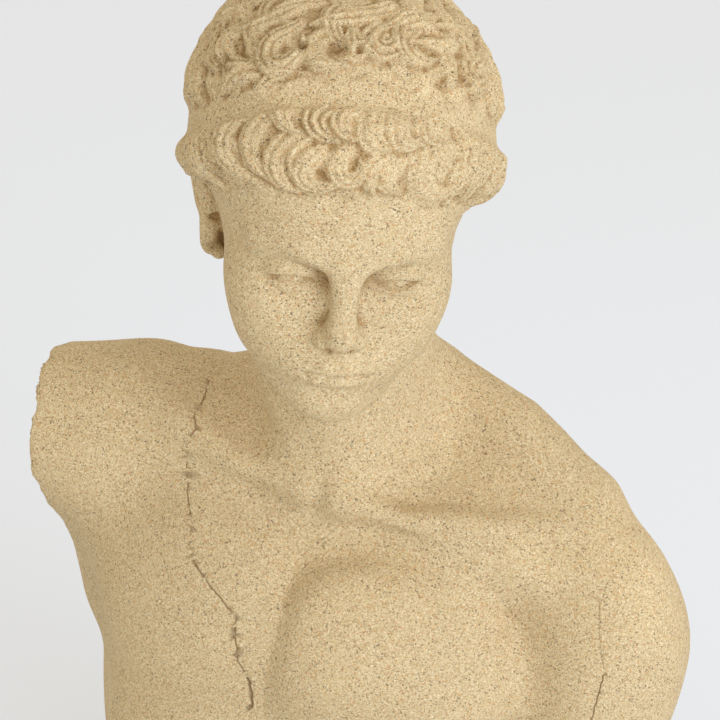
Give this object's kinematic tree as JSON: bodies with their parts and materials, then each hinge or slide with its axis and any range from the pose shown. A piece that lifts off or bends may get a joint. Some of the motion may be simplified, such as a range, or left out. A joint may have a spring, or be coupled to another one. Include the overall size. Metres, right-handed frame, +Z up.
{
  "type": "bust on stand",
  "caption": "Cast stone bust of a youth with a bowed head and a band round the curly hair, on a low plinth.",
  "frame": {"origin": "centre of the plinth's underside", "axes": "+Z up, -Y the way the chest faces, +X the figure's left"},
  "size_m": [0.2918, 0.1793, 0.4436],
  "materials": {
    "bust_stone": "matt sand-coloured cast stone with fine speckles",
    "stand_stone": "matt sand-coloured cast stone with fine speckles"
  },
  "bodies": {
    "root": {"bust": "bust_stone", "stand": "stand_stone"}
  },
  "joints": []
}
